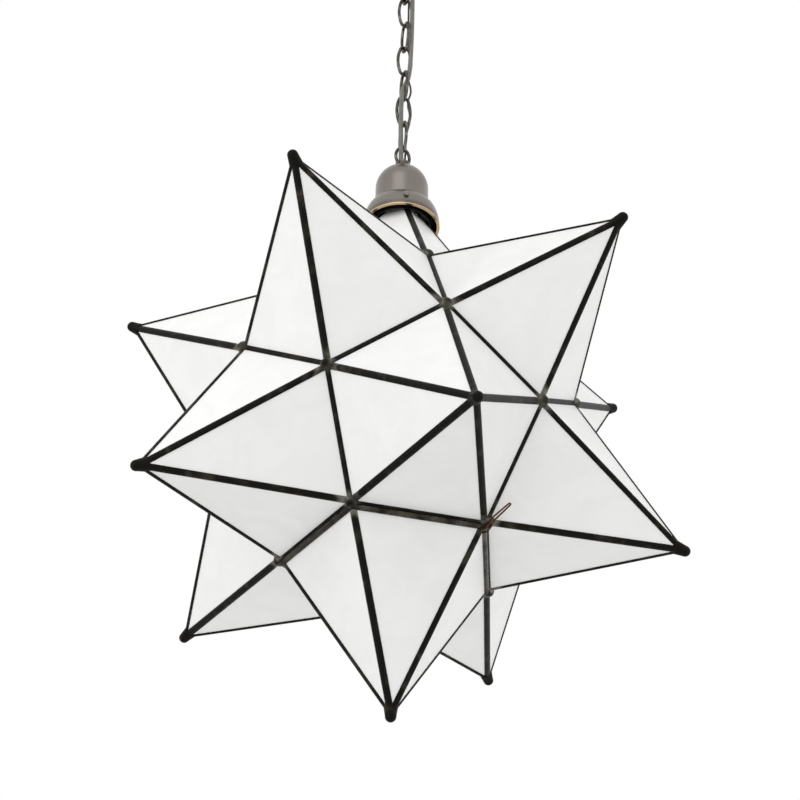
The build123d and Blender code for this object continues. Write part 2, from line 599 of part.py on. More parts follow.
with BuildPart() as cap:
    with BuildSketch(Plane.XZ):
        neck_inside = CAP_NECK_RADIUS - CAP_WALL
        bulge = CAP_RIM_RADIUS - CAP_NECK_RADIUS
        shoulder = CAP_NECK_BOTTOM - CAP_WALL
        with BuildLine():
            EllipticalCenterArc((CAP_NECK_RADIUS, CAP_RIM_Z), bulge, CAP_SKIRT_HEIGHT, start_angle=0, arc_size=90)
            Line((CAP_NECK_RADIUS, CAP_NECK_BOTTOM), (CAP_NECK_RADIUS, CAP_NECK_BOTTOM + CAP_NECK_HEIGHT))
            CenterArc((0, CAP_NECK_BOTTOM + CAP_NECK_HEIGHT), CAP_NECK_RADIUS, 0, 90)
            Line((0, CAP_APEX_Z), (0, CAP_APEX_Z - CAP_WALL))
            CenterArc((0, CAP_NECK_BOTTOM + CAP_NECK_HEIGHT), neck_inside, 0, 90)
            Polyline(
                (neck_inside, CAP_NECK_BOTTOM + CAP_NECK_HEIGHT),
                (neck_inside, shoulder),
                (CAP_NECK_RADIUS, shoulder),
            )
            EllipticalCenterArc(
                (CAP_NECK_RADIUS, CAP_RIM_Z), bulge - CAP_WALL, CAP_SKIRT_HEIGHT - CAP_WALL,
                start_angle=0, arc_size=90,
            )
            Line((CAP_RIM_RADIUS, CAP_RIM_Z), (CAP_RIM_RADIUS - CAP_WALL, CAP_RIM_Z))
        make_face()
    revolve(axis=Axis.Z)
    with BuildSketch(Plane.XY.offset(CAP_RIM_Z)):
        Circle(CAP_RIM_RADIUS - CAP_WALL / 2)
        Circle(CAP_RIM_RADIUS - LIP_WIDTH, mode=Mode.SUBTRACT)
    extrude(amount=LIP_THICKNESS)
    with BuildSketch(Plane.XY.offset(CAP_APEX_Z)):
        Circle(PIPE_RADIUS + PIPE_CLEARANCE)
    extrude(amount=-2 * CAP_WALL - PIPE_IN_HUB, mode=Mode.SUBTRACT)
    for azimuth in SCREW_AZIMUTHS:
        with BuildSketch(screw_plane(azimuth, COLLAR_RADIUS)):
            Circle(SET_SCREW_RADIUS)
        extrude(amount=CAP_RIM_RADIUS - COLLAR_RADIUS, mode=Mode.SUBTRACT)
save(cap.part, "cap")

with BuildPart() as cap_set_screws:
    for azimuth in SCREW_AZIMUTHS:
        with BuildSketch(screw_plane(azimuth, COLLAR_RADIUS)):
            Circle(SET_SCREW_RADIUS)
        extrude(amount=SCREW_HEAD_START - COLLAR_RADIUS)
        with BuildSketch(screw_plane(azimuth, SCREW_HEAD_START)):
            Circle(SET_SCREW_HEAD_RADIUS)
        extrude(amount=SET_SCREW_HEAD_LENGTH)
    with BuildSketch(Plane.XY.offset(SCREW_Z - SET_SCREW_HEAD_RADIUS)):
        Circle(COLLAR_RADIUS)
    extrude(amount=2 * SET_SCREW_HEAD_RADIUS, mode=Mode.SUBTRACT)
save(cap_set_screws.part, "cap_set_screws")

with BuildPart() as top_collar:
    with BuildSketch(Plane.XY.offset(COLLAR_Z)):
        Circle(COLLAR_RADIUS)
        Circle(PIPE_RADIUS + PIPE_CLEARANCE, mode=Mode.SUBTRACT)
    extrude(amount=COLLAR_PLATE)
    with BuildSketch(Plane.XY.offset(COLLAR_BOTTOM)):
        Circle(COLLAR_RADIUS)
        Circle(COLLAR_BORE, mode=Mode.SUBTRACT)
    extrude(amount=COLLAR_Z - COLLAR_BOTTOM)
save(top_collar.part, "top_collar")

# ---- Lamp pipe, its nuts and the lamp holder ----
with BuildPart() as lamp_pipe:
    with BuildSketch(Plane.XY.offset(PIPE_TOP)):
        Circle(PIPE_RADIUS)
        Circle(PIPE_BORE_RADIUS, mode=Mode.SUBTRACT)
    extrude(amount=SOCKET_TOP_Z - SOCKET_HUB_HEIGHT - PIPE_TOP)
save(lamp_pipe.part, "lamp_pipe")

with BuildPart() as canopy_nipple:
    with BuildSketch(Plane.XY):
        Circle(PIPE_RADIUS)
        Circle(PIPE_BORE_RADIUS, mode=Mode.SUBTRACT)
    extrude(amount=NIPPLE_BOTTOM)
save(canopy_nipple.part, "canopy_nipple")


def nut(under_face, thickness):
    """Hexagonal nut hanging from a height, bored for the pipe."""
    with BuildPart() as piece:
        with BuildSketch(Plane.XY.offset(under_face)):
            RegularPolygon(NUT_FLATS / 2, 6, major_radius=False)
            Circle(PIPE_RADIUS, mode=Mode.SUBTRACT)
        extrude(amount=-thickness)
    return piece.part


CAP_INSIDE_TOP = CAP_APEX_Z - CAP_WALL
with BuildPart() as dome_nut:
    add(nut(CAP_INSIDE_TOP, NUT_THICKNESS + DOME_NUT_RISE))
    with Locations((0, 0, CAP_APEX_Z - CAP_NECK_RADIUS)):
        Sphere(CAP_NECK_RADIUS - CAP_WALL, mode=Mode.INTERSECT)
with BuildPart() as pipe_nuts:
    add(dome_nut.part)
    add(nut(COLLAR_Z + COLLAR_PLATE + NUT_THICKNESS, NUT_THICKNESS))
    add(nut(COLLAR_Z, NUT_THICKNESS))
save(pipe_nuts.part, "pipe_nuts")

with BuildPart() as nipple_nut:
    add(nut(-CROSSBAR_THICKNESS, NUT_THICKNESS))
save(nipple_nut.part, "nipple_nut")

SOCKET_CAP_RADIUS = SOCKET_RADIUS + SOCKET_WALL
SOCKET_CAP_TOP = SOCKET_TOP_Z - SOCKET_HUB_HEIGHT
SOCKET_CAP_BOTTOM = SOCKET_CAP_TOP - SOCKET_CAP_HEIGHT
SHELL_TOP = SOCKET_CAP_BOTTOM + SOCKET_OVERLAP
SHELL_BOTTOM = SHELL_TOP - SOCKET_HEIGHT
SCREW_SHELL_BOTTOM = SHELL_BOTTOM + SCREW_SHELL_RECESS
SCREW_SHELL_TOP = SCREW_SHELL_BOTTOM + SCREW_SHELL_HEIGHT
CONTACT_FACE = SCREW_SHELL_TOP - CONTACT_THICKNESS
SHELL_BORE = SOCKET_RADIUS - SOCKET_WALL

with BuildPart() as socket_cap:
    with BuildSketch(Plane.XY.offset(SOCKET_TOP_Z)):
        Circle(SOCKET_HUB_RADIUS)
    extrude(amount=-SOCKET_HUB_HEIGHT)
    with BuildSketch(Plane.XZ):
        with BuildLine():
            cap_slope = SOCKET_CAP_HEIGHT - SOCKET_OVERLAP
            Polyline(
                (0, SOCKET_CAP_TOP),
                (SOCKET_HUB_RADIUS, SOCKET_CAP_TOP),
                (SOCKET_CAP_RADIUS, SOCKET_CAP_TOP - cap_slope),
                (SOCKET_CAP_RADIUS, SOCKET_CAP_BOTTOM),
                (SOCKET_RADIUS, SOCKET_CAP_BOTTOM),
                (SOCKET_RADIUS, SOCKET_CAP_TOP - cap_slope),
                (SOCKET_HUB_RADIUS - SOCKET_WALL, SOCKET_CAP_TOP - SOCKET_WALL),
                (0, SOCKET_CAP_TOP - SOCKET_WALL),
                close=True,
            )
        make_face()
    revolve(axis=Axis.Z)
    with BuildSketch(Plane.XY.offset(SOCKET_TOP_Z)):
        Circle(PIPE_RADIUS)
    extrude(amount=-SOCKET_HUB_HEIGHT, mode=Mode.SUBTRACT)
    with BuildSketch(Plane.XY.offset(SOCKET_TOP_Z)):
        Circle(PIPE_BORE_RADIUS)
    extrude(amount=-SOCKET_HUB_HEIGHT - 2 * SOCKET_WALL, mode=Mode.SUBTRACT)
save(socket_cap.part, "socket_cap")

with BuildPart() as socket_shell:
    with BuildSketch(Plane.XY.offset(SHELL_BOTTOM)):
        Circle(SOCKET_RADIUS)
        Circle(SHELL_BORE, mode=Mode.SUBTRACT)
    extrude(amount=SOCKET_HEIGHT)
    with BuildSketch(Plane.XY.offset(SCREW_SHELL_TOP)):
        Circle(SHELL_BORE)
    extrude(amount=SOCKET_WEB)
save(socket_shell.part, "socket_shell")

with BuildPart() as socket_screw_shell:
    with BuildSketch(Plane.XY.offset(SCREW_SHELL_BOTTOM)):
        Circle(SCREW_SHELL_BORE + SCREW_SHELL_WALL)
        Circle(SCREW_SHELL_BORE, mode=Mode.SUBTRACT)
    extrude(amount=SCREW_SHELL_HEIGHT)
    with BuildSketch(Plane.XY.offset(SCREW_SHELL_BOTTOM)):
        Circle(SHELL_BORE)
        Circle(SCREW_SHELL_BORE, mode=Mode.SUBTRACT)
    extrude(amount=SCREW_SHELL_RECESS)
save(socket_screw_shell.part, "socket_screw_shell")

with BuildPart() as socket_contact:
    with BuildSketch(Plane.XY.offset(CONTACT_FACE)):
        Circle(CONTACT_RADIUS)
    extrude(amount=CONTACT_THICKNESS)
save(socket_contact.part, "socket_contact")

# ---- Bulb ----
BASE_TOP = CONTACT_FACE - BULB_TIP_LENGTH
GLASS_TOP = BASE_TOP - BULB_BASE_LENGTH
with BuildPart() as bulb_base:
    with BuildSketch(Plane.XY.offset(CONTACT_FACE)):
        Circle(BULB_TIP_RADIUS)
    extrude(amount=-BULB_TIP_LENGTH)
    with BuildSketch(Plane.XY.offset(BASE_TOP)):
        Circle(BULB_BASE_RADIUS)
    extrude(amount=-BULB_BASE_LENGTH)
save(bulb_base.part, "bulb_base")

with BuildPart() as bulb_glass:
    globe_z = GLASS_TOP - BULB_LENGTH + BULB_RADIUS
    neck_z = GLASS_TOP - BULB_NECK_LENGTH
    reach = hypot(BULB_NECK_RADIUS, neck_z - globe_z)
    tangent_angle = atan((neck_z - globe_z) / BULB_NECK_RADIUS) - acos(BULB_RADIUS / reach)
    with BuildSketch(Plane.XZ):
        with BuildLine():
            Polyline(
                (0, GLASS_TOP - BULB_LENGTH),
                (0, GLASS_TOP),
                (BULB_NECK_RADIUS, GLASS_TOP),
                (BULB_NECK_RADIUS, neck_z),
                (BULB_RADIUS * cos(tangent_angle), globe_z + BULB_RADIUS * sin(tangent_angle)),
            )
            CenterArc((0, globe_z), BULB_RADIUS, -90, 90 + degrees(tangent_angle))
        make_face()
    revolve(axis=Axis.Z)
save(bulb_glass.part, "bulb_glass")

# ---- Canopy and crossbar ----
with BuildPart() as canopy:
    with BuildSketch(Plane.XZ):
        inside = CANOPY_RADIUS - CANOPY_WALL
        span = CANOPY_RADIUS - CANOPY_TOP_RADIUS
        rise = CANOPY_HEIGHT - CANOPY_LIP
        dome_radius = (span**2 + rise**2) / (2 * rise)
        dome_centre = (CANOPY_TOP_RADIUS, dome_radius - CANOPY_HEIGHT)
        outer_turn = degrees(asin(span / dome_radius))
        inner_turn = degrees(asin((span - CANOPY_WALL) / (dome_radius - CANOPY_WALL)))
        with BuildLine():
            outer_dome = CenterArc(dome_centre, dome_radius, -90, outer_turn)
            inner_dome = CenterArc(dome_centre, dome_radius - CANOPY_WALL, -90, inner_turn)
            Polyline(
                outer_dome @ 0,
                (PIPE_RADIUS, -CANOPY_HEIGHT),
                (PIPE_RADIUS, -CANOPY_HEIGHT + CANOPY_WALL),
                inner_dome @ 0,
            )
            Polyline(inner_dome @ 1, (inside, 0), (CANOPY_RADIUS, 0), outer_dome @ 1)
        make_face()
    revolve(axis=Axis.Z)
save(canopy.part, "canopy")

with BuildPart() as crossbar:
    with BuildSketch(Plane.XY):
        SlotOverall(MOUNT_SPACING + 2 * CROSSBAR_END, CROSSBAR_WIDTH)
        Circle(PIPE_RADIUS, mode=Mode.SUBTRACT)
        with GridLocations(MOUNT_SPACING, 0, 2, 1):
            Circle(MOUNT_HOLE_RADIUS, mode=Mode.SUBTRACT)
    extrude(amount=-CROSSBAR_THICKNESS)
save(crossbar.part, "crossbar")

# ---- Cord and ground wire, chosen points from the ceiling down into the lamp holder ----
CORD_POINTS = [
    (-1.3, 0, -1), (-1.3, 0, -42.5), (5.0, -4.0, -54), (5.3, -4.0, -97), (5.2, -4.0, -140),
    (3.8, -3.9, -190), (-0.2, -2.6, -202), (-4.2, -4.0, -214), (-4.7, -4.3, -250),
    (-3.9, -4.2, -284.6), (-1.3, 0, -294.5), (-1.3, 0, -388),
]
GROUND_POINTS = [
    (2.1, 0, -1), (2.1, 0, -42.5), (4.6, 3.8, -54), (5.1, 3.9, -100), (4.7, 3.8, -150),
    (9.6, 3.0, -170), (4.9, 3.7, -186), (9.8, 2.9, -202), (4.9, 3.8, -218), (9.4, 2.9, -237),
    (4.9, 3.7, -256), (4.6, 3.8, -284.6), (2.1, 0, -294.5), (2.1, 0, -388),
]


def bend_radii(points):
    """Largest even bend at each inner point, from the shorter run beside it and half the turn."""
    spots = [Vector(*point) for point in points]
    radii = []
    for before, here, after in zip(spots, spots[1:], spots[2:]):
        half_turn = radians((here - before).get_angle(after - here)) / 2
        shorter = min((here - before).length, (after - here).length)
        radii.append(BEND_SHARE * shorter / tan(half_turn))
    return radii


def cord(points, radius):
    """Round cord along straight runs joined by even bends."""
    radii = bend_radii(points)
    with BuildPart() as piece:
        with BuildLine() as path:
            FilletPolyline(*points, radius=radii)
        with BuildSketch(Plane(origin=points[0], z_dir=Vector(*points[1]) - Vector(*points[0]))):
            Circle(radius)
        sweep()
    length = path.wires()[0].length
    share = piece.part.volume / (pi * radius**2 * length)
    print("cord: length", round(length, 1), "volume share", round(share, 4), "radii", [round(r) for r in radii])
    return piece.part


save(cord(CORD_POINTS, CORD_RADIUS), "pendant_cord")
save(cord(GROUND_POINTS, GROUND_RADIUS), "ground_wire")
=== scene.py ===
from math import cos, pi, radians, sin

import bpy
from bpy.props import FloatProperty, FloatVectorProperty, PointerProperty
from mathutils import Matrix, Vector


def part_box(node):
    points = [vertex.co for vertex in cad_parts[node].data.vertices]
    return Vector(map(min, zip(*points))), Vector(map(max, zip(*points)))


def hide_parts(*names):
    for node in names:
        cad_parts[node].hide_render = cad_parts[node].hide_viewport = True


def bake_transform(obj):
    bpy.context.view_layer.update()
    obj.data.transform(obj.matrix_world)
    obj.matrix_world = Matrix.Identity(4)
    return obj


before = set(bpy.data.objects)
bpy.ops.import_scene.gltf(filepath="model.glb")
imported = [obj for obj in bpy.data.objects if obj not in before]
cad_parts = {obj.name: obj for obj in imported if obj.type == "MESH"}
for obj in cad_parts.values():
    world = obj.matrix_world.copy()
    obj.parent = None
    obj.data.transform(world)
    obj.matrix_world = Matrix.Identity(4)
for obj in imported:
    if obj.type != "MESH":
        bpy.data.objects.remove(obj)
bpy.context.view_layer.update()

bl_info = {
    "name": "Glass star lantern",
    "version": (1, 0, 0),
    "blender": (4, 5, 0),
    "location": "View3D > Sidebar > Star lantern",
    "description": "Finishes and soft pieces of a soldered glass star lantern on its chain",
    "category": "Object",
}

MM = 0.001

# ---- Places read from the frame ----
SEAMS_LOW, SEAMS_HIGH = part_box("valley_seams")
STAR_CENTRE = Vector((0, 0, (SEAMS_LOW[2] + SEAMS_HIGH[2]) / 2))
CAP_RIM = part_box("cap")[0][2]
TIP_RADIUS = 263 * MM
NODE_RADIUS = 152.9 * MM
LINK_COUNT = 7
UPPER_POINTS = [f"upper_point_{number}" for number in range(1, 6)]
LOWER_POINTS = [f"lower_point_{number}" for number in range(1, 6)]
POINTS = ["top_point", *UPPER_POINTS, *LOWER_POINTS, "door"]


# ---- Material helpers ----
def srgb(text):
    """Linear colour of an sRGB hex value."""
    values = [int(text[place:place + 2], 16) / 255 for place in (0, 2, 4)]
    return tuple(v / 12.92 if v <= 0.04045 else ((v + 0.055) / 1.055) ** 2.4 for v in values) + (1.0,)


def add_node(tree, kind, inputs=None, **settings):
    """Adds one shader node with its settings; an input that is a socket is linked, and a value is set."""
    made = tree.nodes.new(kind)
    for key, value in settings.items():
        setattr(made, key, value)
    for key, value in (inputs or {}).items():
        if isinstance(value, bpy.types.NodeSocket):
            tree.links.new(value, made.inputs[key])
        else:
            made.inputs[key].default_value = value
    return made


def new_material(name):
    """A material with only its shader and output, and the place on the piece to read patterns from."""
    material = bpy.data.materials.new(name)
    material.use_nodes = True
    tree = material.node_tree
    tree.nodes.clear()
    place = add_node(tree, "ShaderNodeTexCoord").outputs["Object"]
    shader = add_node(tree, "ShaderNodeBsdfPrincipled")
    add_node(tree, "ShaderNodeOutputMaterial", {"Surface": shader.outputs[0]})
    return material, tree, place, shader


def noise(tree, place, size_mm, detail=3.0, roughness=0.55, distortion=0.0):
    """Grey cloud pattern whose patches are about a real size across."""
    made = add_node(
        tree, "ShaderNodeTexNoise",
        {"Vector": place, "Scale": 1 / (size_mm * MM), "Detail": detail, "Roughness": roughness,
         "Distortion": distortion},
    )
    return made.outputs["Fac"]


def blend_colours(tree, amount, low, high):
    """Colour between two others."""
    made = add_node(tree, "ShaderNodeMix", data_type="RGBA")
    for socket, value in ((made.inputs[0], amount), (made.inputs[6], low), (made.inputs[7], high)):
        if isinstance(value, bpy.types.NodeSocket):
            tree.links.new(value, socket)
        else:
            socket.default_value = value
    return made.outputs[2]


def span(tree, value, low, high, to_low=0.0, to_high=1.0, smooth=False):
    """A value stretched from one range to another, and held at its ends."""
    made = add_node(
        tree, "ShaderNodeMapRange",
        {"Value": value, "From Min": low, "From Max": high, "To Min": to_low, "To Max": to_high},
        interpolation_type="SMOOTHSTEP" if smooth else "LINEAR",
    )
    return made.outputs[0]


def bump(tree, shader, height, depth_mm, strength):
    """Raises the surface by a pattern."""
    made = add_node(
        tree, "ShaderNodeBump", {"Height": height, "Distance": depth_mm * MM, "Strength": strength}
    )
    tree.links.new(made.outputs[0], shader.inputs["Normal"])


def from_centre(tree, place):
    """Distance from the star's centre, in metres."""
    shifted = add_node(tree, "ShaderNodeVectorMath", {0: place, 1: STAR_CENTRE}, operation="SUBTRACT")
    length = add_node(tree, "ShaderNodeVectorMath", {0: shifted.outputs[0]}, operation="LENGTH")
    return length.outputs["Value"]


def height_of(tree, place):
    """Height of a point on the piece, in metres."""
    return add_node(tree, "ShaderNodeSeparateXYZ", {0: place}).outputs[2]


# ---- Materials ----
def frosted_glass(white, shade):
    """Rolled opal glass: white through its thickness, faint wisps in it, satin on its face."""
    material, tree, place, shader = new_material("rolled_opal_glass")
    wisps = span(tree, noise(tree, place, 34, detail=3, distortion=0.8), 0.35, 0.65, smooth=True)
    tree.links.new(blend_colours(tree, wisps, shade, white), shader.inputs["Base Color"])
    gloss = noise(tree, place, 9, detail=2)
    tree.links.new(span(tree, gloss, 0.3, 0.7, 0.34, 0.42), shader.inputs["Roughness"])
    shader.inputs["IOR"].default_value = 1.5
    shader.inputs["Subsurface Weight"].default_value = 0.3
    shader.inputs["Subsurface Radius"].default_value = (1.0, 1.0, 1.0)
    shader.inputs["Subsurface Scale"].default_value = 4 * MM
    bump(tree, shader, noise(tree, place, 18, detail=1), 0.15, 0.3)
    return material


def lead_came(dark, edge, solder):
    """Lead came under black patina, wiped paler in places, with tinned solder where strips meet."""
    material, tree, place, shader = new_material("patinated_lead_came")
    rub = span(tree, noise(tree, place, 16, detail=3), 0.5, 0.75, smooth=True)
    stained = blend_colours(tree, rub, dark, edge)
    joint = from_centre(tree, place)
    near_node = span(tree, joint, NODE_RADIUS - 1.2 * MM, NODE_RADIUS + 0.6 * MM, smooth=True)
    past_node = span(tree, joint, NODE_RADIUS + 3 * MM, NODE_RADIUS + 5.5 * MM, 1.0, 0.0, smooth=True)
    at_node = add_node(tree, "ShaderNodeMath", {0: near_node, 1: past_node}, operation="MULTIPLY").outputs[0]
    patch = span(tree, noise(tree, place, 11, detail=1), 0.4, 0.6, 0.25, 1.0)
    tinned = add_node(tree, "ShaderNodeMath", {0: at_node, 1: patch}, operation="MULTIPLY").outputs[0]
    tree.links.new(blend_colours(tree, tinned, stained, solder), shader.inputs["Base Color"])
    tree.links.new(span(tree, tinned, 0, 1, 0.42, 0.3), shader.inputs["Roughness"])
    tree.links.new(span(tree, tinned, 0, 1, 0.0, 0.9), shader.inputs["Metallic"])
    shader.inputs["Specular IOR Level"].default_value = 0.06
    bump(tree, shader, noise(tree, place, 4, detail=1), 0.2, 0.35)
    return material


def satin_nickel(mid, warm_lip):
    """Spun nickel plate, warm grey, with painted shade darkening it just above the rim, and worn to the
    brass on the turned-in lip.
    """
    material, tree, place, shader = new_material("satin_nickel_plate")
    cloud = span(tree, noise(tree, place, 30, detail=2), 0.3, 0.7)
    plate = blend_colours(tree, cloud, mid, tuple(0.9 * c for c in mid[:3]) + (1,))
    height = height_of(tree, place)
    # painted shade: a bluish dark band 3 to 7 mm above the rim stands in for the shadow at the cap's mouth
    painted_rim_shade = span(tree, height, CAP_RIM + 3 * MM, CAP_RIM + 7 * MM, 0.55, 0.0, smooth=True)
    shaded = blend_colours(tree, painted_rim_shade, plate, srgb("4C4E52"))
    lip = span(tree, height, CAP_RIM + 0.9 * MM, CAP_RIM + 1.3 * MM, 1.0, 0.0)
    tree.links.new(blend_colours(tree, lip, shaded, warm_lip), shader.inputs["Base Color"])
    shader.inputs["Metallic"].default_value = 1.0
    grain_place = add_node(tree, "ShaderNodeMapping", {0: place, 3: (1, 1, 12)}).outputs[0]
    grain = noise(tree, grain_place, 1.6, detail=2)
    tree.links.new(span(tree, grain, 0.3, 0.7, 0.26, 0.34), shader.inputs["Roughness"])
    bump(tree, shader, grain, 0.02, 0.3)
    return material


def dark_nickel(base, pale):
    """Antiqued steel wire: dark glossy plate, rubbed a little brighter in patches by handling."""
    material, tree, place, shader = new_material("antiqued_steel_wire")
    rub = span(tree, noise(tree, place, 7, detail=2), 0.45, 0.7, smooth=True)
    tree.links.new(blend_colours(tree, rub, base, pale), shader.inputs["Base Color"])
    shader.inputs["Metallic"].default_value = 1.0
    tree.links.new(span(tree, rub, 0, 1, 0.32, 0.24), shader.inputs["Roughness"])
    bump(tree, shader, noise(tree, place, 1.5, detail=1), 0.03, 0.4)
    return material


def plain_metal(name, base, worn, roughness, patch_mm=6, metallic=1.0):
    """A metal or enamel surface in two close tones, with fine unevenness."""
    material, tree, place, shader = new_material(name)
    patches = span(tree, noise(tree, place, patch_mm, detail=3), 0.4, 0.7)
    tree.links.new(blend_colours(tree, patches, base, worn), shader.inputs["Base Color"])
    shader.inputs["Metallic"].default_value = metallic
    tree.links.new(span(tree, patches, 0, 1, roughness, roughness * 0.8), shader.inputs["Roughness"])
    bump(tree, shader, noise(tree, place, patch_mm / 4, detail=2), 0.06, 0.4)
    return material


def cord_cover(name, base, dark, patch_mm):
    """Smooth extruded cord cover, a little darker in patches where it has been handled."""
    material, tree, place, shader = new_material(name)
    patches = span(tree, noise(tree, place, patch_mm, detail=2), 0.4, 0.7)
    tree.links.new(blend_colours(tree, patches, base, dark), shader.inputs["Base Color"])
    shader.inputs["Roughness"].default_value = 0.38
    bump(tree, shader, noise(tree, place, patch_mm / 6, detail=1), 0.03, 0.4)
    return material


# ---- Dressing ----
def dress(material, *names):
    """Gives CAD nodes a material."""
    for name in names:
        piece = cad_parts[name]
        if not piece.data.materials:
            piece.data.materials.append(material)
        for place in range(len(piece.material_slots)):
            piece.material_slots[place].material = material


def sizes():
    """The settings in the scene."""
    return bpy.context.scene.star_lantern


# ---- Cord routes, the same chosen points as the CAD source, in millimetres ----
CORD_POINTS = [
    (-1.3, 0, -1), (-1.3, 0, -42.5), (5.0, -4.0, -54), (5.3, -4.0, -97), (5.2, -4.0, -140),
    (3.8, -3.9, -190), (-0.2, -2.6, -202), (-4.2, -4.0, -214), (-4.7, -4.3, -250),
    (-3.9, -4.2, -284.6), (-1.3, 0, -294.5), (-1.3, 0, -388),
]
GROUND_POINTS = [
    (2.1, 0, -1), (2.1, 0, -42.5), (4.6, 3.8, -54), (5.1, 3.9, -100), (4.7, 3.8, -150),
    (9.6, 3.0, -170), (4.9, 3.7, -186), (9.8, 2.9, -202), (4.9, 3.8, -218), (9.4, 2.9, -237),
    (4.9, 3.7, -256), (4.6, 3.8, -284.6), (2.1, 0, -294.5), (2.1, 0, -388),
]
CORD_SIDES = 16
RING_STEP = 2 * MM          # between the rings of a cord's mesh
SHORTEST_STEP = 0.05 * MM   # points of a route nearer than this are one point


def route_line(points):
    """Points along the smooth curve that a route's own points steer."""
    curve = bpy.data.curves.new("route", "CURVE")
    curve.dimensions = "3D"
    curve.resolution_u = 12
    spline = curve.splines.new("NURBS")
    spline.points.add(len(points) - 1)
    for point, place in zip(spline.points, points):
        point.co = (place[0] * MM, place[1] * MM, place[2] * MM, 1)
    spline.order_u = 3
    spline.use_endpoint_u = True
    holder = bpy.data.objects.new("route", curve)
    bpy.context.collection.objects.link(holder)
    line = bpy.data.meshes.new_from_object(holder)
    places = [vertex.co.copy() for vertex in line.vertices]
    bpy.data.objects.remove(holder)
    bpy.data.curves.remove(curve)
    bpy.data.meshes.remove(line)
    return places


def cut_line(places, levels):
    """The line split into lengths at falling heights, each cut on the line itself."""
    lengths = [[places[0]]]
    for before, after in zip(places, places[1:]):
        while levels and after.z < levels[0]:
            share = (before.z - levels[0]) / (before.z - after.z)
            crossing = before.lerp(after, share)
            lengths[-1].append(crossing)
            lengths.append([crossing.copy()])
            levels = levels[1:]
        if (after - lengths[-1][-1]).length > SHORTEST_STEP:
            lengths[-1].append(after)
    return lengths


def tube(name, line, radius, material):
    """Round closed tube along a line that runs mostly downwards."""
    places = [line[0]]
    for before, after in zip(line, line[1:]):
        steps = max(1, round((after - before).length / RING_STEP))
        places += [before.lerp(after, step / steps) for step in range(1, steps + 1)]
    rings = []
    for index, place in enumerate(places):
        ahead = places[min(index + 1, len(places) - 1)] - places[max(index - 1, 0)]
        if index in (0, len(places) - 1):
            ahead = Vector((0, 0, -1))
        side = Vector((0, 1, 0)).cross(ahead).normalized()
        other = ahead.normalized().cross(side)
        turns = [2 * pi * step / CORD_SIDES for step in range(CORD_SIDES)]
        rings.append([place + side * radius * cos(turn) + other * radius * sin(turn) for turn in turns])
    vertices = [vertex for ring in rings for vertex in ring]
    faces = []
    for ring in range(len(rings) - 1):
        for step in range(CORD_SIDES):
            here = ring * CORD_SIDES + step
            beside = ring * CORD_SIDES + (step + 1) % CORD_SIDES
            faces.append((here, beside, beside + CORD_SIDES, here + CORD_SIDES))
    faces.append(tuple(reversed(range(CORD_SIDES))))
    faces.append(tuple(range(len(vertices) - CORD_SIDES, len(vertices))))
    mesh = bpy.data.meshes.new(name)
    mesh.from_pydata(vertices, [], faces)
    piece = bpy.data.objects.new(name, mesh)
    bpy.context.collection.objects.link(piece)
    bpy.ops.object.select_all(action="DESELECT")
    piece.select_set(True)
    bpy.context.view_layer.objects.active = piece
    bpy.ops.object.mode_set(mode="EDIT")
    bpy.ops.mesh.select_all(action="SELECT")
    bpy.ops.mesh.normals_make_consistent(inside=False)
    bpy.ops.object.mode_set(mode="OBJECT")
    bpy.ops.object.shade_smooth_by_angle(angle=radians(50))
    piece.data.materials.append(material)
    return piece, places


def thread_cord(name, node, points, radius, material):
    """Cord in one length per link, cut at the middle height of each chain link."""
    boxes = [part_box(f"chain_link_{number}") for number in range(1, LINK_COUNT + 1)]
    middles = [(low[2] + high[2]) / 2 for low, high in boxes]
    lengths = cut_line(route_line(points), middles)
    for number, line in enumerate(lengths, start=1):
        piece, places = tube(f"{name}_{number}", line, radius, material)
        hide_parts(node)
        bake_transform(piece)


# ---- Settings ----
def colour_setting(name, description, text):
    """A colour that a user can change."""
    return FloatVectorProperty(
        name=name, description=description, subtype="COLOR", size=4, min=0, max=1, default=srgb(text)
    )


class StarLanternSettings(bpy.types.PropertyGroup):
    """Sizes and colours of the lantern's finish"""

    glass_white: colour_setting("Glass", "Clearest tone of the opal glass", "F8F8F7")
    glass_shade: colour_setting("Glass shade", "Tone of the wisps in the glass", "F4F4F2")
    came_dark: colour_setting("Came", "Black patina on the lead", "14130F")
    came_edge: colour_setting("Came edge", "Wiped olive grey of the lead", "38352C")
    solder: colour_setting("Solder", "Bright tinned joints", "6F6D65")
    nickel: colour_setting("Cap", "Satin nickel of the cap", "827C76")
    lip: colour_setting("Cap lip", "Worn brass along the cap's rim", "CDB28A")
    chain_base: colour_setting("Chain", "Dark plate on the chain", "4E4A45")
    chain_pale: colour_setting("Chain worn", "Rubbed plate on the chain", "7B766F")
    cord_colour: colour_setting("Cord", "Cover of the pendant cord", "6F6F69")
    catch_colour: colour_setting("Catch", "Copper wire of the door's catch", "6B4A33")
    cord_width: FloatProperty(
        name="Cord width", description="Diameter of the pendant cord", default=4.4 * MM, unit="LENGTH"
    )
    ground_width: FloatProperty(
        name="Ground wire width", description="Diameter of the thin ground wire", default=2 * MM,
        unit="LENGTH",
    )
    camera_distance: FloatProperty(
        name="Camera distance", description="Camera to the star's centre", default=6.891 * TIP_RADIUS,
        unit="LENGTH",
    )


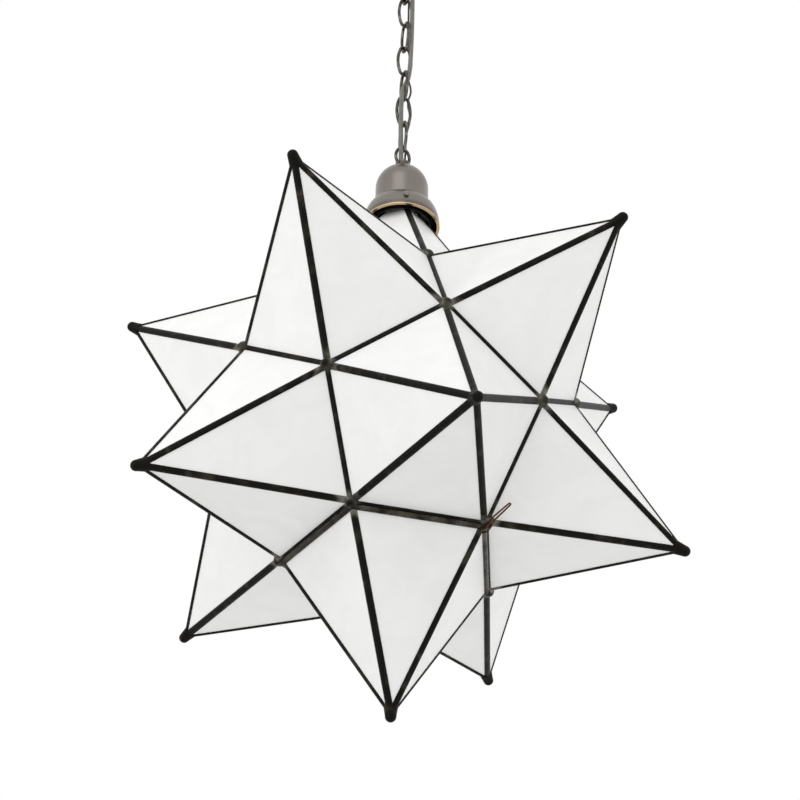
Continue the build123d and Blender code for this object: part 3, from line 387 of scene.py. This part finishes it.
class STAR_OT_stage(bpy.types.Operator):
    """Camera below the star, soft lamps, pale floor and white surroundings"""

    bl_idname = "star_lantern.stage"
    bl_label = "Stage"

    def execute(self, context):
        scene = context.scene
        scene.view_settings.view_transform = "Standard"
        place_camera(scene, sizes().camera_distance)
        light_world(scene)
        add_lamps()
        bpy.ops.object.select_all(action="DESELECT")
        bpy.ops.mesh.primitive_plane_add(size=FLOOR_SIZE, location=(0, 0, FLOOR_HEIGHT))
        floor = context.active_object
        floor.name = "floor"
        bpy.ops.object.transform_apply(location=True, rotation=True, scale=True)
        material, tree, place, shader = new_material("matt_white_floor")
        tone = noise(tree, place, 400, detail=1)
        shade = blend_colours(tree, tone, srgb("F2F2F1"), srgb("F6F6F5"))
        tree.links.new(shade, shader.inputs["Base Color"])
        shader.inputs["Roughness"].default_value = 0.9
        floor.data.materials.append(material)
        return {"FINISHED"}


FLOOR_SIZE = 12
FLOOR_HEIGHT = -2.6
CAMERA_HEADING = 65.0       # direction the camera looks along, from +X
CAMERA_ELEVATION = -34.57   # the camera is below the star
CAMERA_ROLL = 1.176
FOCAL_PIXELS = 2146.9
IMAGE_WIDTH = 800
ASIDE = (-0.0107 * TIP_RADIUS, -0.1081 * TIP_RADIUS)


def place_camera(scene, distance):
    """Camera at the photograph's angle, aimed a little beside the star's centre."""
    data = bpy.data.cameras.new("camera")
    data.sensor_width = 36
    data.lens = data.sensor_width * FOCAL_PIXELS / IMAGE_WIDTH
    data.clip_end = 50
    camera = bpy.data.objects.new("camera", data)
    scene.collection.objects.link(camera)
    heading, rise, roll = radians(CAMERA_HEADING), radians(CAMERA_ELEVATION), radians(CAMERA_ROLL)
    back = Vector((-cos(heading) * cos(rise), -sin(heading) * cos(rise), sin(rise)))
    level_right = Vector((sin(heading), -cos(heading), 0))
    level_up = back.cross(level_right)
    right = level_right * cos(roll) + level_up * sin(roll)
    up = level_up * cos(roll) - level_right * sin(roll)
    turn = Matrix((right, up, back)).transposed().to_4x4()
    place = STAR_CENTRE + back * distance - right * ASIDE[0] - up * ASIDE[1]
    camera.matrix_world = Matrix.Translation(place) @ turn
    scene.camera = camera


def light_world(scene):
    """Soft even light on the piece, and plain white where the camera or a reflection sees past it."""
    world = bpy.data.worlds.new("studio")
    scene.world = world
    world.use_nodes = True
    tree = world.node_tree
    tree.nodes.clear()
    path = add_node(tree, "ShaderNodeLightPath")
    seen = path.outputs["Is Camera Ray"]
    for ray in ("Is Glossy Ray", "Is Transmission Ray"):
        either = add_node(tree, "ShaderNodeMath", {0: seen, 1: path.outputs[ray]}, operation="MAXIMUM")
        seen = either.outputs[0]
    strength = span(tree, seen, 0, 1, 0.84, 1.0)
    background = add_node(tree, "ShaderNodeBackground", {"Color": (1, 1, 1, 1), "Strength": strength})
    add_node(tree, "ShaderNodeOutputWorld", {"Surface": background.outputs[0]})


def add_lamps():
    """A large lamp above on the left, a weaker one on the right, and a tall strip beside the metal."""
    for name, place, size, power in (
        ("key", (-1.3, -1.6, 0.6), (1.6, 1.6), 7),
        ("fill", (1.9, -0.9, -0.9), (1.4, 1.4), 3),
        ("strip", (-1.5, -0.3, -0.5), (0.2, 1.6), 4),
    ):
        data = bpy.data.lights.new(name, "AREA")
        data.shape = "RECTANGLE"
        data.size, data.size_y = size
        data.energy = power
        lamp = bpy.data.objects.new(name, data)
        bpy.context.collection.objects.link(lamp)
        aim = STAR_CENTRE - Vector(place)
        lamp.matrix_world = Matrix.Translation(place) @ aim.to_track_quat("-Z", "Y").to_matrix().to_4x4()


class STAR_OT_glass(bpy.types.Operator):
    """Opal glass in all twelve points"""

    bl_idname = "star_lantern.glass"
    bl_label = "Glass points"

    def execute(self, context):
        glass = frosted_glass(sizes().glass_white, sizes().glass_shade)
        dress(glass, *[f"{point}_glass" for point in POINTS])
        return {"FINISHED"}


class STAR_OT_came(bpy.types.Operator):
    """Patinated came and tinned solder joints"""

    bl_idname = "star_lantern.came"
    bl_label = "Came and solder"

    def execute(self, context):
        came = lead_came(sizes().came_dark, sizes().came_edge, sizes().solder)
        dress(came, "valley_seams", *[f"{point}_ridges" for point in POINTS])
        rim = plain_metal("tinned_door_rim", srgb("24221D"), srgb("56534B"), 0.3, patch_mm=18)
        dress(rim, "door_frame", "hinge_door_knuckle", "hinge_fixed_knuckles", "hinge_pin")
        copper = plain_metal("bent_copper_wire", sizes().catch_colour, srgb("2E211A"), 0.35, patch_mm=3)
        dress(copper, "catch_loop", "catch_stud")
        return {"FINISHED"}


class STAR_OT_cap(bpy.types.Operator):
    """Cap, screws, collar, lamp pipe and canopy"""

    bl_idname = "star_lantern.cap"
    bl_label = "Cap and collar"

    def execute(self, context):
        dress(satin_nickel(sizes().nickel, sizes().lip), "cap", "cap_set_screws", "canopy")
        black = plain_metal("black_baked_enamel", srgb("0E0E0D"), srgb("171614"), 0.5, metallic=0.0)
        dress(black, "top_collar", "socket_cap", "socket_shell")
        zinc = plain_metal("zinc_plated_steel", srgb("8D8C88"), srgb("A9A8A2"), 0.35)
        dress(zinc, "lamp_pipe", "pipe_nuts", "nipple_nut", "canopy_nipple", "crossbar")
        brass = plain_metal("spun_brass", srgb("B0904F"), srgb("8C6F3A"), 0.3)
        dress(brass, "socket_screw_shell", "socket_contact", "bulb_base")
        silica = (srgb("F3F2EE"), srgb("ECEBE6"))
        bulb = plain_metal("silica_coated_bulb", *silica, 0.4, patch_mm=20, metallic=0.0)
        dress(bulb, "bulb_glass")
        return {"FINISHED"}


class STAR_OT_chain(bpy.types.Operator):
    """Chain links and the loops at the canopy and cap"""

    bl_idname = "star_lantern.chain"
    bl_label = "Chain"

    def execute(self, context):
        wire = dark_nickel(sizes().chain_base, sizes().chain_pale)
        links = [f"chain_link_{number}" for number in range(1, LINK_COUNT + 1)]
        dress(wire, "canopy_loop", "cap_loop", *links)
        return {"FINISHED"}


class STAR_OT_cords(bpy.types.Operator):
    """Pendant cord and ground wire threaded down the chain"""

    bl_idname = "star_lantern.cords"
    bl_label = "Cords"

    def execute(self, context):
        cover = cord_cover("smooth_cord_cover", sizes().cord_colour, srgb("605F59"), 14.4)
        radius = sizes().cord_width / 2
        thread_cord("pendant_cord_length", "pendant_cord", CORD_POINTS, radius, cover)
        dark_cover = cord_cover("dark_ground_wire_cover", srgb("4A443E"), srgb("35302B"), 9)
        radius = sizes().ground_width / 2
        thread_cord("ground_wire_length", "ground_wire", GROUND_POINTS, radius, dark_cover)
        return {"FINISHED"}


class STAR_PT_panel(bpy.types.Panel):
    """The lantern's pieces, in the order they are made"""

    bl_idname = "STAR_PT_panel"
    bl_label = "Star lantern"
    bl_space_type = "VIEW_3D"
    bl_region_type = "UI"
    bl_category = "Star lantern"

    def draw(self, context):
        for operator in OPERATORS:
            self.layout.operator(operator.bl_idname)


OPERATORS = (STAR_OT_stage, STAR_OT_cords, STAR_OT_glass, STAR_OT_came, STAR_OT_cap, STAR_OT_chain)
CLASSES = (StarLanternSettings, *OPERATORS, STAR_PT_panel)


def register():
    for kind in CLASSES:
        bpy.utils.register_class(kind)
    bpy.types.Scene.star_lantern = PointerProperty(type=StarLanternSettings)


def unregister():
    del bpy.types.Scene.star_lantern
    for kind in reversed(CLASSES):
        bpy.utils.unregister_class(kind)


def main():
    register()
    bpy.ops.star_lantern.stage()
    bpy.ops.star_lantern.cords()
    bpy.ops.star_lantern.glass()
    bpy.ops.star_lantern.came()
    bpy.ops.star_lantern.cap()
    bpy.ops.star_lantern.chain()


if __name__ == "__main__":
    main()
